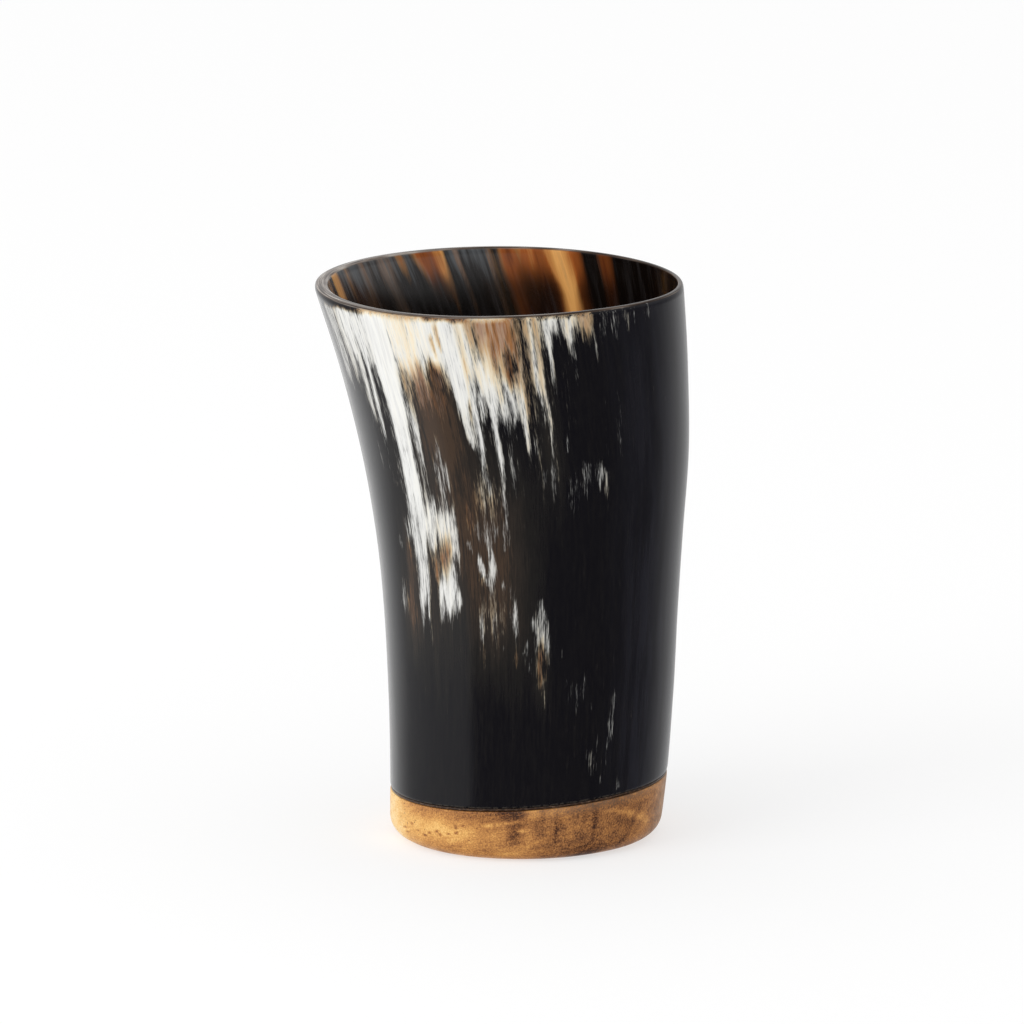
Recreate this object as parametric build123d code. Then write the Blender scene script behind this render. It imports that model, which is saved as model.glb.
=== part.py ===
from build123d import *
from math import cos, pi, sin, tan, radians
import os

# Horn drinking cup: a length of polished cow horn, glued onto a wooden foot.
# Millimetres. The origin is the centre of the foot's flat face, +Z is up, -Y is the front,
# and the rim leans towards -X. A share is a part of the size that it follows.

# The outside, as it was ground and polished in one piece
cup_height = 127.0
rim_width = 83.2
rim_depth = 82.0
foot_width = 61.4
foot_depth = 59.8
rim_lean = 6.0
back_bow = 1.5

# How the outside changes on its way up: height share, growth share from foot to rim,
# lean share of the rim's lean, bow share of the back bow
station_shares = [
    (-0.02, -0.015, 0.03, 0.0),
    (0.0, 0.0, 0.0, 0.0),
    (0.11, 0.078, -0.15, 0.35),
    (0.25, 0.147, -0.23, 0.70),
    (0.40, 0.234, -0.23, 0.95),
    (0.55, 0.381, -0.17, 1.0),
    (0.70, 0.578, 0.0, 0.85),
    (0.85, 0.784, 0.42, 0.50),
    (1.0, 1.0, 1.0, 0.0),
    (1.03, 1.04, 1.12, -0.05),
]

# The horn isn't quite oval: its front is flatter than its back, more so to the right
rim_flat_share = 0.07
foot_flat_share = 0.02
rim_skew_share = 0.12
foot_skew_share = 0.04
outline_points = 24

# The horn's wall, thick to the left and thin to the right at the rim, and even at the foot
rim_wall_left = 3.2
rim_wall_right = 1.3
rim_wall_front = 2.4
rim_wall_back = 2.0
foot_wall = 4.0
rim_round_outside = 0.65
rim_round_inside = 0.35
lip_round_share = 0.85

# The wooden foot, cut with a slant where the horn's end stands on it
seam_height = 12.2
seam_slant = 3.4
foot_round = 4.2
spigot_height = 6.0

# The glue between the two, flat on the shoulder and thin round the spigot
glue_bed = 0.65
glue_film = 0.35

# The poured floor that closes the inside over the spigot
seal_cover = 1.2
seal_creep_width = 1.0
seal_creep_height = 1.0
seal_slope_share = 0.8


def between(foot_value, rim_value, growth):
    return foot_value + (rim_value - foot_value) * growth


def outline(station, walled, inset):
    """One closed section at a station: the outside, or the bore inside the wall."""
    height_share, growth, lean, bow = station
    flat = between(foot_flat_share, rim_flat_share, growth)
    skew = between(foot_skew_share, rim_skew_share, growth)
    left = between(foot_wall, rim_wall_left, growth) if walled else 0
    right = between(foot_wall, rim_wall_right, growth) if walled else 0
    front = between(foot_wall, rim_wall_front, growth) if walled else 0
    back = between(foot_wall, rim_wall_back, growth) if walled else 0
    half_width = between(foot_width, rim_width, growth) / 2 - (left + right) / 2 - inset
    half_depth = between(foot_depth, rim_depth, growth) / (2 - flat) - (front + back) / 2 - inset
    middle_x = -rim_lean * lean + (left - right) / 2
    middle_y = back_bow * bow + (front - back) / 2
    points = []
    for step in range(outline_points):
        turn = 2 * pi * step / outline_points
        frontness = (1 - sin(turn)) / 2
        x = middle_x + half_width * cos(turn)
        y = middle_y + half_depth * sin(turn) * (1 - frontness * (flat + skew * cos(turn)))
        points.append((x, y, cup_height * height_share))
    return Face(Wire([Spline(*points, periodic=True)]))


def form(walled, inset=0):
    """The whole length as a solid, a little past both ends."""
    return Solid.make_loft([outline(station, walled, inset).outer_wire() for station in station_shares])


def level(height):
    return Plane(origin=(0, 0, height))


def slanted(height):
    slant = radians(seam_slant)
    return Plane(origin=(0, 0, height), z_dir=(-sin(slant), 0, cos(slant)))


def slice_of(body, low_plane, high_plane):
    above = split(body, bisect_by=low_plane, keep=Keep.TOP)
    return split(above, bisect_by=high_plane, keep=Keep.BOTTOM)


shoulder = slanted(seam_height)
horn_end = slanted(seam_height + glue_bed)
spigot_top = slanted(seam_height + spigot_height)
rim_plane = level(cup_height)

outside = form(walled=False)
bore = form(walled=True)
spigot_form = form(walled=True, inset=glue_film)


def make_horn_shell():
    """The horn tube, with its polished lip."""
    tube = slice_of(outside, horn_end, rim_plane) - bore
    lip_edges = tube.edges().group_by(Axis.Z)[-1].sort_by(SortBy.LENGTH)
    thinnest = min(rim_wall_left, rim_wall_right, rim_wall_front, rim_wall_back)
    round_total = rim_round_outside + rim_round_inside
    wall_limit = min(1, lip_round_share * thinnest / round_total)
    tube = fillet(lip_edges[-1], rim_round_outside * wall_limit)
    lip_edges = tube.edges().group_by(Axis.Z)[-1].sort_by(SortBy.LENGTH)
    return fillet(lip_edges[0], rim_round_inside * wall_limit)


def make_wood_base():
    """The foot, with the spigot that stands up inside the horn."""
    foot = slice_of(outside, level(0), shoulder)
    lower_edge = foot.edges().group_by(Axis.Z)[0]
    foot = fillet(lower_edge, foot_round)
    return foot + slice_of(spigot_form, shoulder, spigot_top)


def make_glue_joint():
    """The bed of glue under the horn's end and the film round the spigot."""
    bed = slice_of(outside, shoulder, horn_end)
    film = slice_of(bore, horn_end, spigot_top)
    return bed + film - slice_of(spigot_form, shoulder, spigot_top)


def make_inner_seal():
    """The poured floor: level on top, and drawn a little way up the wall."""
    bore_right = foot_width / 2 - foot_wall
    floor_height = seam_height + spigot_height + bore_right * tan(radians(seam_slant)) + seal_cover
    creep_plane = level(floor_height + seal_creep_height)
    poured = slice_of(bore, spigot_top, creep_plane)
    hollow = slice_of(form(walled=True, inset=seal_creep_width), level(floor_height), creep_plane)
    poured = poured - hollow
    top_edges = poured.edges().group_by(Axis.Z)[-1].sort_by(SortBy.LENGTH)
    slope = seal_slope_share * min(seal_creep_width, seal_creep_height)
    return chamfer(top_edges[0], slope)


os.makedirs("parts", exist_ok=True)
pieces = {
    "horn_shell": make_horn_shell(),
    "wood_base": make_wood_base(),
    "glue_joint": make_glue_joint(),
    "inner_seal": make_inner_seal(),
}
for name, piece in pieces.items():
    export_step(piece, f"parts/{name}.step")
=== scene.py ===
# A horn drinking cup: polished cow horn on a wooden foot.
# Every piece is made on straight round stock, and then fitted to the horn's leaning oval.
from math import cos, radians, sin, tan
import bpy
import numpy as np
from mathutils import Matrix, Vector, noise


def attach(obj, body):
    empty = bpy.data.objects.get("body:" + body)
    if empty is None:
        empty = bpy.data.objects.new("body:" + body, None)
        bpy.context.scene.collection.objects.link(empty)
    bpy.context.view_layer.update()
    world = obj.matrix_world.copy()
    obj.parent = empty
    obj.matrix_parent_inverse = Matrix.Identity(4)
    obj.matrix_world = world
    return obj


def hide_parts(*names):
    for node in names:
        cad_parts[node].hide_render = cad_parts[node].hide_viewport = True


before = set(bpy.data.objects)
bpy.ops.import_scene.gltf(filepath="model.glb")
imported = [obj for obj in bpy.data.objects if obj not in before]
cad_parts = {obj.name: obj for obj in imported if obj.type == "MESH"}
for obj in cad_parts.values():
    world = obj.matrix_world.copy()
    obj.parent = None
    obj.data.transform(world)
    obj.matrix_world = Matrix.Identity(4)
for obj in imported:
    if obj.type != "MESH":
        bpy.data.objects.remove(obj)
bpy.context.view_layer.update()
mm = 0.001
print("frame loaded:", sorted(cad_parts))

# The form of the cup, the same as the construction model's, in millimetres and shares
cup = {
    "height": 127.0,
    "rimWidth": 83.2,
    "rimDepth": 82.0,
    "footWidth": 61.4,
    "footDepth": 59.8,
    "rimLean": 6.0,
    "backBow": 1.5,
    "rimFlat": 0.07,
    "footFlat": 0.02,
    "rimSkew": 0.12,
    "footSkew": 0.04,
    "rimWalls": (3.2, 1.3, 2.4, 2.0),  # left, right, front, back
    "footWall": 4.0,
    "seam": 12.2,
    "slant": radians(3.4),
    "glueBed": 0.65,
    "glueFilm": 0.35,
    "spigotHeight": 6.0,
    "sealCover": 1.2,
    "footRound": 4.2,
    "polishWander": (0.14, 2.1, 26.0),  # how far inwards, waves round the cup, their length
    "stations": (  # height, growth from foot to rim, lean and bow, all as shares
        (-0.02, -0.015, 0.03, 0.0),
        (0.0, 0.0, 0.0, 0.0),
        (0.11, 0.078, -0.15, 0.35),
        (0.25, 0.147, -0.23, 0.70),
        (0.40, 0.234, -0.23, 0.95),
        (0.55, 0.381, -0.17, 1.0),
        (0.70, 0.578, 0.0, 0.85),
        (0.85, 0.784, 0.42, 0.50),
        (1.0, 1.0, 1.0, 0.0),
        (1.03, 1.04, 1.12, -0.05),
    ),
}
# The round stock that each piece is made on
stock = {
    "outer": cup["footWidth"] / 2,
    "bore": cup["footWidth"] / 2 - cup["footWall"],
    "columns": 120,
    "levels": 2,
    "mergeWithin": 0.02,
    "slantEnd": 70.0,  # from this height up, the rings no longer lean with the seam
}
hornEnd = cup["seam"] + cup["glueBed"]
spigotTop = cup["seam"] + cup["spigotHeight"]
sealTop = round(spigotTop + stock["bore"] * tan(cup["slant"]) + cup["sealCover"], 2)
# Strokes of colour: how their ends fray and how soft they are, at most and as a share of the stroke
strokeLook = {
    "fibres": ((1.5, 1.1), (0.62, 0.8)),  # size in millimetres, weight
    "fibreLength": 30.0,
    "reach": (6.0, 0.35),
    "fade": (8.0, 0.5),
    "side": (1.0, 0.24),  # at least, in degrees, and more for each degree of width
}

nodeRows = {"length": 10, "across": 200, "down": 320}


def smooth(value):
    value = np.clip(value, 0, 1)
    return value * value * (3 - 2 * value)


def rise(values, start, length):
    # 0 up to start, and 1 from start + length on
    return smooth((values - start) / length)


def sharesAt(heights):
    # growth, lean and bow on a smooth line through the stations
    table = np.array(cup["stations"])
    knots = table[:, 0] * cup["height"]
    slopes = np.gradient(table[:, 1:], knots, axis=0)
    low = np.clip(np.searchsorted(knots, heights) - 1, 0, len(knots) - 2)
    gap = (knots[low + 1] - knots[low])[:, None]
    t = (heights[:, None] - knots[low][:, None]) / gap
    start, end = table[low, 1:], table[low + 1, 1:]
    line = start + (end - start) * t * t * (3 - 2 * t)
    line += gap * t * (1 - t) * ((1 - t) * slopes[low] - t * slopes[low + 1])
    return line.T


def sectionAt(turn, heights, walled):
    # the outside, or the bore inside the wall, at each turn and height
    growth, lean, bow = sharesAt(heights)

    def grown(foot, rim):
        return foot + (rim - foot) * growth

    left, right, front, back = (grown(cup["footWall"], wall) * walled for wall in cup["rimWalls"])
    flat = grown(cup["footFlat"], cup["rimFlat"])
    skew = grown(cup["footSkew"], cup["rimSkew"])
    halfWidth = grown(cup["footWidth"], cup["rimWidth"]) / 2 - (left + right) / 2
    halfDepth = grown(cup["footDepth"], cup["rimDepth"]) / (2 - flat) - (front + back) / 2
    middleX = -cup["rimLean"] * lean + (left - right) / 2
    middleY = cup["backBow"] * bow + (front - back) / 2
    press = 1 - (1 - np.sin(turn)) / 2 * (flat + skew * np.cos(turn))
    x = middleX + halfWidth * np.cos(turn)
    y = middleY + halfDepth * np.sin(turn) * press
    return np.stack([x, y]), np.stack([middleX, middleY])


def turnStock(name, profile, closed):
    # a lathe in edit mode: each (radius, height) of the profile is one more extruded ring
    bpy.ops.object.select_all(action="DESELECT")
    radius, height = profile[0]
    bpy.ops.mesh.primitive_circle_add(
        vertices=stock["columns"], radius=radius * mm, location=(0, 0, height * mm)
    )
    piece = bpy.context.object
    piece.name = name
    piece.data.name = name
    bpy.ops.object.transform_apply(location=True, rotation=True, scale=True)
    bpy.ops.object.mode_set(mode="EDIT")
    bpy.ops.mesh.select_mode(type="EDGE")
    for nextRadius, nextHeight in profile[1:]:
        bpy.ops.mesh.extrude_edges_move(
            TRANSFORM_OT_translate={"value": (0, 0, (nextHeight - height) * mm)}
        )
        grow = nextRadius / radius
        bpy.ops.transform.resize(value=(grow, grow, 1), center_override=(0, 0, nextHeight * mm))
        radius, height = nextRadius, nextHeight
    if closed:
        bpy.ops.mesh.select_all(action="SELECT")
        bpy.ops.mesh.remove_doubles(threshold=stock["mergeWithin"] * mm)
    else:
        bpy.ops.mesh.fill_grid(span=stock["columns"] // 4)
        bpy.ops.mesh.select_all(action="DESELECT")
        bpy.ops.mesh.select_non_manifold()
        bpy.ops.mesh.fill_grid(span=stock["columns"] // 4)
    bpy.ops.mesh.select_all(action="SELECT")
    bpy.ops.mesh.normals_make_consistent(inside=False)
    bpy.ops.object.mode_set(mode="OBJECT")
    rounded = piece.modifiers.new("rounded", "SUBSURF")
    rounded.levels = stock["levels"]
    rounded.render_levels = stock["levels"]
    bpy.ops.object.modifier_apply(modifier=rounded.name)
    bpy.ops.object.shade_smooth()
    return piece


def noiseAround(turn, heights, reach, length, seed=0):
    # noise on the cup's wall: more reach makes it finer round the cup, and length draws it out
    x, y = reach * np.cos(turn) + seed, reach * np.sin(turn)
    places = np.stack([x, y, heights / length + seed], axis=1)
    return np.array([noise.noise(Vector(place)) for place in places.tolist()])


def slantWeight(heights, slantEnd):
    # the seam is cut at a slant, and the rings above and below it lean with it
    below = rise(heights, cup["footRound"], cup["seam"] - cup["footRound"])
    above = 1 - rise(heights, spigotTop, slantEnd - spigotTop)
    return np.where(heights < cup["seam"], below, above)


def fitToHorn(piece, slantEnd=stock["slantEnd"]):
    # moves stock to its place on the horn, and says where each point was and is
    straight = np.empty(len(piece.data.vertices) * 3)
    piece.data.vertices.foreach_get("co", straight)
    straight = straight.reshape(-1, 3) / mm
    turn = np.arctan2(straight[:, 1], straight[:, 0])
    share = np.hypot(straight[:, 0], straight[:, 1]) / stock["outer"]
    boreShare = stock["bore"] / stock["outer"]
    outside, _ = sectionAt(turn, straight[:, 2], 0)
    lift = tan(cup["slant"]) * outside[0] * share * slantWeight(straight[:, 2], slantEnd)
    heights = straight[:, 2] + lift
    outside, _ = sectionAt(turn, heights, 0)
    bore, middle = sectionAt(turn, heights, 1)
    inWall = np.clip((share - boreShare) / (1 - boreShare), 0, None)
    inBore = np.clip(share / boreShare, 0, 1)
    flat = middle + (bore - middle) * inBore + (outside - bore) * inWall
    wander, reach, length = cup["polishWander"]
    polish = wander * (0.5 + noiseAround(turn, heights, reach, length)).clip(0, 1) * inBore
    flat -= (flat - middle) / cup["footWidth"] * 2 * polish
    fitted = np.stack([flat[0], flat[1], heights], axis=1) * mm
    piece.data.vertices.foreach_set("co", fitted.ravel())
    piece.data.update()
    return {
        "straight": straight,
        "around": np.degrees(turn) + 90,  # 0 at the front, rising to the right
        "heights": heights,
        "inWall": inWall,
        "wall": np.hypot(*(outside - bore)),
    }


def keepVector(piece, name, values):
    kept = piece.data.attributes.new(name, "FLOAT_VECTOR", "POINT")
    kept.data.foreach_set("vector", np.ascontiguousarray(values, dtype=np.float32).ravel())


def keepField(piece, name, values):
    kept = piece.data.attributes.new(name, "FLOAT", "POINT")
    kept.data.foreach_set("value", np.ascontiguousarray(values, dtype=np.float32))


def fibresOf(place, seed):
    # how far each fibre of the horn runs on past the end of a stroke, from about -1 to 1
    turn = np.radians(place["around"])
    total = 0
    for size, weight in strokeLook["fibres"]:
        reach = stock["outer"] / size
        fibres = noiseAround(turn, place["heights"], reach, strokeLook["fibreLength"], seed)
        total = total + weight * fibres
    return total


def brush(fields, place, strokes, soft=1.0, ragged=1.0, taper=0.5, raised=False):
    # lays each stroke over the last: (angle, top, bottom, width, value for each field)
    mostReach, reachShare = strokeLook["reach"]
    mostFade, fadeShare = strokeLook["fade"]
    leastSide, sideShare = strokeLook["side"]
    for angle, top, bottom, width, *values in strokes:
        length = top - bottom
        reach = ragged * min(mostReach, reachShare * length)
        fade = soft * min(mostFade, fadeShare * length)
        sideFade = soft * (leastSide + sideShare * width)
        down = np.clip((top - place["heights"]) / length, 0, 1)
        point = (1 - down) if raised else down
        half = width / 2 * (1 - taper * point * point)
        away = np.abs((place["wobbled"] - angle + 180) % 360 - 180)
        cover = np.clip(0.5 + (half - away) / sideFade, 0, 1)
        above = top - place["heights"] + reach * place["fibresUp"]
        below = place["heights"] - bottom + reach * place["fibresDown"]
        cover *= np.clip(0.5 + above / fade, 0, 1) * np.clip(0.5 + below / fade, 0, 1)
        for field, value in zip(fields, values):
            field += (value - field) * cover


def addNode(tree, kind, inputs=None, **settings):
    # nodes stand in rows, in the order in which they are made
    made = tree.nodes.new(kind)
    row, column = divmod(len(tree.nodes), nodeRows["length"])
    made.location = (column * nodeRows["across"], -row * nodeRows["down"])
    for name, value in settings.items():
        setattr(made, name, value)
    for socket, value in (inputs or {}).items():
        made.inputs[socket].default_value = value
    return made


def newMaterial(name):
    material = bpy.data.materials.new(name)
    material.use_nodes = True
    tree = material.node_tree
    tree.nodes.clear()
    output = addNode(tree, "ShaderNodeOutputMaterial")
    shader = addNode(tree, "ShaderNodeBsdfPrincipled")
    tree.links.new(shader.outputs["BSDF"], output.inputs["Surface"])
    return material, tree, shader


def sumOf(tree, parts, start=0.0):
    # start plus each (socket, factor)
    total = None
    for socket, factor in parts:
        joined = addNode(tree, "ShaderNodeMath", inputs={1: factor}, operation="MULTIPLY_ADD")
        tree.links.new(socket, joined.inputs[0])
        if total is None:
            joined.inputs[2].default_value = start
        else:
            tree.links.new(total, joined.inputs[2])
        total = joined.outputs[0]
    return total


def grained(tree, base, grains, weights, shift=0.0):
    # base with grains, which make it rise and fall by the same amount
    parts = [(base, 1.0), *zip(grains, weights)]
    return sumOf(tree, parts, start=shift - sum(weights) / 2)


def ramp(tree, socket, low, high, toLow=0.0, toHigh=1.0):
    limits = {"From Min": low, "From Max": high, "To Min": toLow, "To Max": toHigh}
    mapped = addNode(tree, "ShaderNodeMapRange", inputs=limits, interpolation_type="SMOOTHSTEP")
    tree.links.new(socket, mapped.inputs["Value"])
    return mapped.outputs["Result"]


def combine(tree, operation, first, second):
    joined = addNode(tree, "ShaderNodeMath", operation=operation)
    tree.links.new(first, joined.inputs[0])
    tree.links.new(second, joined.inputs[1])
    return joined.outputs[0]


def toLinear(colour):
    # from the usual 0 to 255 to the linear values of a shader
    return [((c / 255 + 0.055) / 1.055) ** 2.4 if c > 10 else c / 255 / 12.92 for c in colour] + [1.0]


def colourRamp(tree, socket, stops):
    band = addNode(tree, "ShaderNodeValToRGB")
    for step, (place, colour) in enumerate(stops):
        stop = band.color_ramp.elements[step] if step < 2 else band.color_ramp.elements.new(place)
        stop.position = place
        stop.color = toLinear(colour)
    tree.links.new(socket, band.inputs["Fac"])
    return band.outputs["Color"]


def blendColours(tree, factor, first, second):
    mix = addNode(tree, "ShaderNodeMix", data_type="RGBA")
    tree.links.new(factor, mix.inputs["Factor"])
    for end, socket in ((first, mix.inputs[6]), (second, mix.inputs[7])):
        if isinstance(end, tuple):
            socket.default_value = toLinear(end)
        else:
            tree.links.new(end, socket)
    return mix.outputs[2]


def attribute(tree, name, output="Fac"):
    return addNode(tree, "ShaderNodeAttribute", attribute_name=name).outputs[output]


def grainNoise(tree, place, sizes, detail=2.0, shift=(0, 0, 0)):
    # noise with a size for each direction, in millimetres
    mapping = addNode(tree, "ShaderNodeMapping")
    mapping.inputs["Scale"].default_value = [sizes[0] / size for size in sizes]
    mapping.inputs["Location"].default_value = shift
    tree.links.new(place, mapping.inputs["Vector"])
    look = {"Scale": 1 / (sizes[0] * mm), "Detail": detail, "Roughness": 0.6}
    texture = addNode(tree, "ShaderNodeTexNoise", inputs=look)
    tree.links.new(mapping.outputs["Vector"], texture.inputs["Vector"])
    return texture.outputs["Fac"]


def endMaterial(tree, shader, look, colour, relief):
    # what every material ends with: its colour, its gloss and its relief
    strength, depth = look["bump"]
    bump = addNode(tree, "ShaderNodeBump", inputs={"Strength": strength, "Distance": depth * mm})
    tree.links.new(relief, bump.inputs["Height"])
    tree.links.new(bump.outputs["Normal"], shader.inputs["Normal"])
    tree.links.new(colour, shader.inputs["Base Color"])
    shader.inputs["IOR"].default_value = look["gloss"]


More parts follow.
